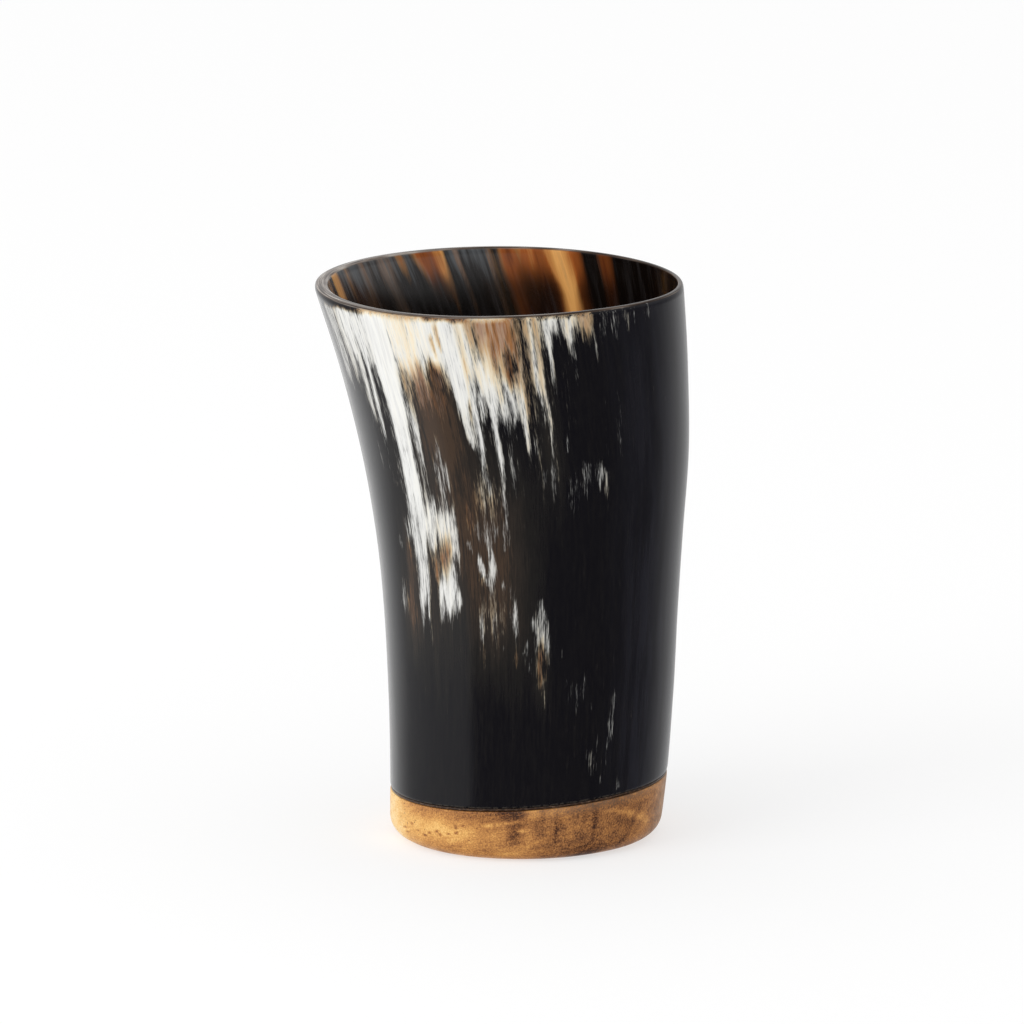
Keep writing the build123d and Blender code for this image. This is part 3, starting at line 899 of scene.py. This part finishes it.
# The wooden foot
woodLook = {
    # Rings of the shape, in millimetres
    "faceRings": (8, 16, 22),
    "roundDegrees": range(8, 90, 13),
    "besideRound": 0.6,
    "sideRings": (6.6, 7.9, 9.1, 10.4),
    "shoulder": ((0.0, 0.35), (0.1, 0.1), (0.35, 0.0)),  # in from the side, and below the seam
    "besideSpigot": 0.6,
    "aboveSeam": 0.35,
    "spigotEdge": ((0.0, 0.6), (0.3, 0.1), (0.8, 0.0)),  # in from its side, and below its top
    "topRings": (20, 10),
    "brownerAndShaded": (-6, 14),  # the wood is darker from this place on its width, over this length: browner wood, and painted shade on the side away from the light
    # Greyer at the right side: it begins and ends at an angle, over some degrees
    "greySide": 0.8,
    "greyBegins": (56, 30),
    "greyEnds": (126, 44),
    # And under the seam, from a height up, over some millimetres
    "greySeam": 0.35,
    "greyFrom": (9.5, 2.5),
    "fibres": (5.3, 0.5),  # seed, and how strongly they fray the stains
    "skin": 0.25,  # the stains and the painted highlight fade inwards over this share of the wall
    "turned": (0.1, 0.12, 0.25),  # the board's grain against the cup's axes, in radians
    "grain": (10.0, 1.8, 1.3),  # along the board, through it, and up, in millimetres
    "pores": (1.3, 0.42, 0.36),
    "mottle": (9.0, 9.0, 9.0),
    "speckle": (0.34, 0.34, 0.34),
    "tone": (0.46, 0.45, 0.72, 0.29, 1.0, -0.375),  # grain, mottle, speckle, browner wood and painted shade, stains and painted highlight, start
    "colours": (
        (0.0, (250, 216, 152)),
        (0.24, (238, 186, 106)),
        (0.46, (210, 150, 80)),
        (0.66, (176, 118, 62)),
        (0.86, (122, 76, 40)),
        (1.0, (64, 34, 18)),
    ),
    "worn": (0.35, 0.65, 0.2, 0.8),
    "wornColour": (182, 152, 120),
    "pitted": (0.0, 1.0, 1.0, 0.15),
    "poreEdge": (0.74, 0.8),
    "poreColour": (148, 92, 48),
    "roughness": (0.3, 0.7, 0.36, 0.5),
    "gloss": 1.45,
    "relief": (-1.0, 0.5),  # of the pores and the grain
    "bump": (0.2, 0.08),
    # Stains, darker and lighter patches and a painted highlight: angle from the front, top and bottom,
    # width in degrees, depth of the stain, lighter below 0
    "stainsAndHighlight": (
        # a painted highlight on the left, where the light falls
        (-74, 15, 0, 26, -0.3),
        (-45, 8.6, 3.4, 36, -0.12),
        (-38, 15, 9, 44, 0.28),
        (-19, 15, 8.6, 24, 0.34),
        # darker towards the bottom edge
        (-20, 4.2, -1, 60, 0.14),
        (-2, 15, 3, 20, 0.1),
        (-4.6, 10, 4.6, 6, 0.38),
        (-16, 8.9, 8.2, 5, -0.16),
        (-12, 9.3, 8.6, 5, -0.18),
        (-8, 9.7, 9.0, 5, -0.2),
        (-4, 10.1, 9.4, 4, -0.18),
        (-7.5, 15, 9.6, 12, 0.46),
        (2, 15, 11.4, 5, -0.14),
        (-1, 8, 7.2, 6, -0.06),
        (12, 11.5, 5.5, 1.2, 0.3),
        (14, 10.5, 8.2, 1, 0.3),
        (24, 12.5, 8.5, 1, 0.2),
        (29, 12.5, 6, 1.2, 0.3),
        (6, 13, 8, 1.2, 0.2),
        (34, 15, 10.8, 26, 0.1),
        # darker towards the bottom edge
        (25, 3.0, -1, 18, 0.12),
        (47, 4.0, 0.8, 22, 0.1),
        (51, 9, 3, 12, 0.06),
        (36, 11.1, 10.2, 7, -0.16),
        (43, 10.4, 9.4, 6, -0.18),
        (49, 9.5, 8.3, 5, -0.2),
        (55, 8.3, 6.9, 5, -0.2),
        (60, 7.0, 5.2, 4, -0.2),
    ),
    # Short dark pores at the left, laid on more sharply
    "dashes": (
        (-61.7, 4.8, 4.3, 2.4, 0.3),
        (-56.5, 6.2, 5.6, 2.2, 0.36),
        (-60.4, 3.9, 3.4, 2.2, 0.3),
        (-52, 5.2, 4.8, 1.6, 0.3),
        (-47.4, 4.5, 4.0, 2.6, 0.4),
        (-44.9, 5.3, 4.8, 1.8, 0.42),
        (-40.8, 6.0, 5.5, 1.6, 0.42),
        (-38.9, 5.5, 4.9, 1.7, 0.46),
        (-34.5, 5.9, 5.4, 1.5, 0.4),
        (-31.2, 7.9, 7.0, 1.2, 0.42),
        (-30.8, 6.5, 5.9, 1.7, 0.46),
        (-28, 8.2, 7.7, 1.2, 0.34),
        (-24.5, 8.7, 8.1, 1.2, 0.36),
        (-13.9, 9.0, 8.5, 1.2, 0.3),
    ),
}


def makeFoot():
    outer, rounding, seam = stock["outer"], cup["footRound"], cup["seam"]
    spigot = stock["bore"] - cup["glueFilm"]
    beside = woodLook["besideRound"]
    profile = [(radius, 0) for radius in woodLook["faceRings"]] + [(outer - rounding - beside, 0)]
    for degrees in woodLook["roundDegrees"]:
        profile.append((
            outer - rounding + rounding * sin(radians(degrees)),
            rounding - rounding * cos(radians(degrees)),
        ))
    profile += [(outer, height) for height in (rounding + beside, *woodLook["sideRings"])]
    profile += [(outer - inwards, seam - drop) for inwards, drop in woodLook["shoulder"]]
    profile += [(spigot + woodLook["besideSpigot"], seam), (spigot, seam)]
    profile += [(spigot, seam + woodLook["aboveSeam"])]
    profile += [(spigot - inwards, spigotTop - drop) for inwards, drop in woodLook["spigotEdge"]]
    profile += [(radius, spigotTop) for radius in woodLook["topRings"]]
    piece = turnStock("wood_foot", profile, closed=False)
    paintFoot(piece, fitToHorn(piece))
    return piece


def paintFoot(piece, place):
    around, x, z = place["around"], place["straight"][:, 0], place["straight"][:, 2]
    seed, strength = woodLook["fibres"]
    place["fibresDown"] = place["fibresUp"] = fibresOf(place, seed) * strength
    place["wobbled"] = around
    stainAndHighlight = np.zeros(len(around))
    brush((stainAndHighlight,), place, woodLook["stainsAndHighlight"], soft=1.5, ragged=0.2, taper=0.0)
    brush((stainAndHighlight,), place, woodLook["dashes"], soft=0.7, ragged=0.1, taper=0.0)
    # browner wood towards the right, with painted shade on that side, away from the light
    brownerAndShaded = rise(x, *woodLook["brownerAndShaded"])
    end, length = woodLook["greyEnds"]
    turned = rise(around, *woodLook["greyBegins"]) * rise(end - around, 0, length)
    greySide = woodLook["greySide"] * turned
    greySeam = woodLook["greySeam"] * rise(z, *woodLook["greyFrom"]) * brownerAndShaded
    keepField(piece, "stainAndHighlight", stainAndHighlight * rise(place["inWall"], 0, woodLook["skin"]))
    keepField(piece, "brownerAndShaded", brownerAndShaded)
    keepField(piece, "greyer", np.maximum(greySide, greySeam))
    keepVector(piece, "stock", place["straight"] * mm)


def woodMaterial():
    material, tree, shader = newMaterial("oiledWood")
    place = attribute(tree, "stock", "Vector")
    stainAndHighlight = attribute(tree, "stainAndHighlight")
    brownerAndShaded = attribute(tree, "brownerAndShaded")
    greyer = attribute(tree, "greyer")
    turned = addNode(tree, "ShaderNodeMapping", inputs={"Rotation": woodLook["turned"]})
    tree.links.new(place, turned.inputs["Vector"])
    place = turned.outputs["Vector"]
    grain = grainNoise(tree, place, woodLook["grain"], detail=3.0)
    pores = grainNoise(tree, place, woodLook["pores"], detail=0.0)
    mottle = grainNoise(tree, place, woodLook["mottle"], detail=1.0)
    speckle = grainNoise(tree, place, woodLook["speckle"], detail=1.0)
    *weights, start = woodLook["tone"]
    tone = sumOf(tree, zip((grain, mottle, speckle, brownerAndShaded, stainAndHighlight), weights), start=start)
    colour = colourRamp(tree, tone, woodLook["colours"])
    worn = ramp(tree, speckle, *woodLook["worn"])
    worn = combine(tree, "MULTIPLY", greyer, worn)
    colour = blendColours(tree, worn, colour, woodLook["wornColour"])
    pitted = ramp(tree, brownerAndShaded, *woodLook["pitted"])
    pits = ramp(tree, pores, *woodLook["poreEdge"])
    pits = combine(tree, "MULTIPLY", pits, pitted)
    colour = blendColours(tree, pits, colour, woodLook["poreColour"])
    roughness = ramp(tree, grain, *woodLook["roughness"])
    tree.links.new(roughness, shader.inputs["Roughness"])
    relief = sumOf(tree, zip((pits, grain), woodLook["relief"]), start=0.5)
    endMaterial(tree, shader, woodLook, colour, relief)
    return material


foot = makeFoot()
foot.data.materials.append(woodMaterial())
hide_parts("wood_base")
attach(foot, "root")
print("foot done")

# The glue between horn and foot, a little drawn in
glueLook = {
    "recess": 0.16,
    "edge": (0.1, 0.15),  # in from the side, and up or down from the faces
    "besideFilm": 0.6,
    "alongFilm": (0.4, 0.3),  # above the bed, and below the spigot's top
    "fleckAndHighlight": (0.8, 0.8, 0.3),
    # dark brown glue, and light grey flecks that are partly dried glue and partly a painted highlight
    "colours": (
        (0.3, (28, 19, 14)),
        (0.52, (58, 38, 25)),
        (0.66, (104, 80, 60)),
        (0.78, (168, 158, 146)),
    ),
    "roughness": 0.3,
    "gloss": 1.5,
    "bump": (0.4, 0.1),
}


def makeGlue():
    outer, bore = stock["outer"] - glueLook["recess"], stock["bore"]
    seam, inner = cup["seam"], bore - cup["glueFilm"]
    inwards, along = glueLook["edge"]
    beside = glueLook["besideFilm"]
    above, below = glueLook["alongFilm"]
    profile = [
        (outer - inwards, seam),
        (outer, seam + along),
        (outer, hornEnd - along),
        (outer - inwards, hornEnd),
        (bore + beside, hornEnd),
        (bore, hornEnd),
        (bore, hornEnd + above),
        (bore, spigotTop - below),
        (bore, spigotTop),
        (inner, spigotTop),
        (inner, spigotTop - below),
        (inner, seam + above),
        (inner, seam),
        (inner + beside, seam),
        (outer - inwards, seam),
    ]
    piece = turnStock("glue_bead", profile, closed=True)
    place = fitToHorn(piece)
    keepVector(piece, "stock", place["straight"] * mm)
    return piece


def glueMaterial():
    material, tree, shader = newMaterial("driedGlue")
    place = attribute(tree, "stock", "Vector")
    fleckAndHighlight = grainNoise(tree, place, glueLook["fleckAndHighlight"], detail=3.0)
    colour = colourRamp(tree, fleckAndHighlight, glueLook["colours"])
    shader.inputs["Roughness"].default_value = glueLook["roughness"]
    endMaterial(tree, shader, glueLook, colour, fleckAndHighlight)
    return material


glue = makeGlue()
glue.data.materials.append(glueMaterial())
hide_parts("glue_joint")
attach(glue, "root")
print("glue done")

# The poured floor inside
sealLook = {
    "lowRings": (9, 18),
    "besideWall": 0.6,
    "aboveSpigot": 0.5,
    # The creep up the wall: in from the wall, and above the floor
    "creep": ((0.0, 0.0), (0.0, 0.6), (0.06, 0.86), (0.3, 0.55), (0.75, 0.2), (1.4, 0.03), (2.6, 0.0)),
    "topRings": (18, 9),
    "slantEnds": 0.2,  # below the floor, so that it is level
    # darker where the resin creeps up the wall, full this many millimetres above the floor
    "darkerUpWall": 0.8,
    "swirl": (14.0, 14.0, 14.0),
    "speck": (0.7, 0.7, 0.7),
    "tone": (1.2, 0.5, -0.3),  # swirl, darker up the wall, start
    "colours": (
        (0.0, (132, 88, 48)),
        (0.4, (104, 66, 36)),
        (1.0, (48, 29, 17)),
    ),
    "bubbleEdge": (0.74, 0.78),
    "bubbleColour": (176, 140, 98),
    "roughness": 0.12,
    "gloss": 1.5,
    "bump": (0.3, 0.05),
}


def makeSeal():
    bore = stock["bore"]
    profile = [(radius, spigotTop) for radius in sealLook["lowRings"]]
    profile += [(bore - sealLook["besideWall"], spigotTop), (bore, spigotTop)]
    profile += [(bore, spigotTop + sealLook["aboveSpigot"])]
    profile += [(bore - inwards, sealTop + up) for inwards, up in sealLook["creep"]]
    profile += [(radius, sealTop) for radius in sealLook["topRings"]]
    piece = turnStock("resin_floor", profile, closed=False)
    place = fitToHorn(piece, slantEnd=sealTop - sealLook["slantEnds"])
    keepField(piece, "darkerUpWall", rise(place["straight"][:, 2], sealTop, sealLook["darkerUpWall"]))
    keepVector(piece, "stock", place["straight"] * mm)
    return piece


def sealMaterial():
    material, tree, shader = newMaterial("pouredResin")
    place = attribute(tree, "stock", "Vector")
    darkerUpWall = attribute(tree, "darkerUpWall")
    swirl = grainNoise(tree, place, sealLook["swirl"], detail=3.0)
    speck = grainNoise(tree, place, sealLook["speck"], detail=0.0)
    *weights, start = sealLook["tone"]
    tone = sumOf(tree, zip((swirl, darkerUpWall), weights), start=start)
    colour = colourRamp(tree, tone, sealLook["colours"])
    bubbles = ramp(tree, speck, *sealLook["bubbleEdge"])
    colour = blendColours(tree, bubbles, colour, sealLook["bubbleColour"])
    shader.inputs["Roughness"].default_value = sealLook["roughness"]
    endMaterial(tree, shader, sealLook, colour, bubbles)
    return material


seal = makeSeal()
seal.data.materials.append(sealMaterial())
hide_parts("inner_seal")
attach(seal, "root")
print("seal done")

# The floor, the light and the camera
studio = {
    "cameraPlace": (-0.0029, -2.1, 0.55043),
    "cameraPitch": radians(12.78),
    "lens": 335.7,
    "sensor": 36.0,
    "floorSize": 14.0,
    "floorShade": 0.42,
    "floorGlow": 0.6,
    "floorRoughness": 0.9,
    "floorShine": 0.1,
    "sideLight": {"place": (-1.3, -0.9, 1.1), "aim": (0, 0, 0.06), "size": 1.2, "power": 9.0},
    # The room, in ranges like the horn's
    "behind": (0.0, 0.95),
    "leftBehind": (0.3, -0.3, 0.85, 1.3),
    "leftWindow": (-0.63, -0.71, 0.0, 0.55),
    "horizon": (-0.05, 0.12),
    "sky": (-1.0, 1.0, 1.25, 0.85),
}


def makeFloor():
    bpy.ops.object.select_all(action="DESELECT")
    bpy.ops.mesh.primitive_plane_add(size=studio["floorSize"], location=(0, 0, 0))
    floor = bpy.context.object
    floor.name = "studio_floor"
    material, tree, shader = newMaterial("paleFloor")
    shader.inputs["Base Color"].default_value = [studio["floorShade"]] * 3 + [1.0]
    shader.inputs["Roughness"].default_value = studio["floorRoughness"]
    shader.inputs["Specular IOR Level"].default_value = studio["floorShine"]
    shader.inputs["Emission Color"].default_value = (1.0, 1.0, 1.0, 1.0)
    shader.inputs["Emission Strength"].default_value = studio["floorGlow"]
    floor.data.materials.append(material)
    floor.visible_glossy = False


def makeLight(name, look):
    lamp = bpy.data.lights.new(name, "AREA")
    lamp.size = look["size"]
    lamp.energy = look["power"]
    light = bpy.data.objects.new(name, lamp)
    bpy.context.scene.collection.objects.link(light)
    light.location = look["place"]
    aim = Vector(look["aim"]) - Vector(look["place"])
    light.rotation_euler = aim.to_track_quat("-Z", "Y").to_euler()
    light.visible_glossy = False


def makeSurroundings():
    # a white room, with dark screens low down in front and to the right
    world = bpy.data.worlds.new("studio")
    bpy.context.scene.world = world
    world.use_nodes = True
    tree = world.node_tree
    tree.nodes.clear()
    output = addNode(tree, "ShaderNodeOutputWorld")
    background = addNode(tree, "ShaderNodeBackground")
    tree.links.new(background.outputs[0], output.inputs["Surface"])
    direction = addNode(tree, "ShaderNodeTexCoord").outputs["Generated"]
    axes = addNode(tree, "ShaderNodeSeparateXYZ")
    tree.links.new(direction, axes.inputs[0])
    behind = ramp(tree, axes.outputs["Y"], *studio["behind"])
    leftBehind = ramp(tree, axes.outputs["X"], *studio["leftBehind"])
    window = ramp(tree, axes.outputs["X"], *studio["leftWindow"])
    back = combine(tree, "MULTIPLY", behind, leftBehind)
    low = combine(tree, "MAXIMUM", back, window)
    high = ramp(tree, axes.outputs["Z"], *studio["horizon"])
    sky = ramp(tree, axes.outputs["X"], *studio["sky"])
    level = addNode(tree, "ShaderNodeMix", data_type="FLOAT")
    tree.links.new(high, level.inputs["Factor"])
    tree.links.new(low, level.inputs[2])
    tree.links.new(sky, level.inputs[3])
    tree.links.new(level.outputs[0], background.inputs["Strength"])


def makeCamera():
    lens = bpy.data.cameras.new("camera")
    lens.lens = studio["lens"]
    lens.sensor_width = studio["sensor"]
    camera = bpy.data.objects.new("camera", lens)
    bpy.context.scene.collection.objects.link(camera)
    camera.location = studio["cameraPlace"]
    camera.rotation_euler = (radians(90) - studio["cameraPitch"], 0, 0)
    bpy.context.scene.camera = camera


makeFloor()
makeLight("side_light", studio["sideLight"])
makeSurroundings()
makeCamera()
bpy.context.scene.view_settings.view_transform = "Standard"
print("studio done")
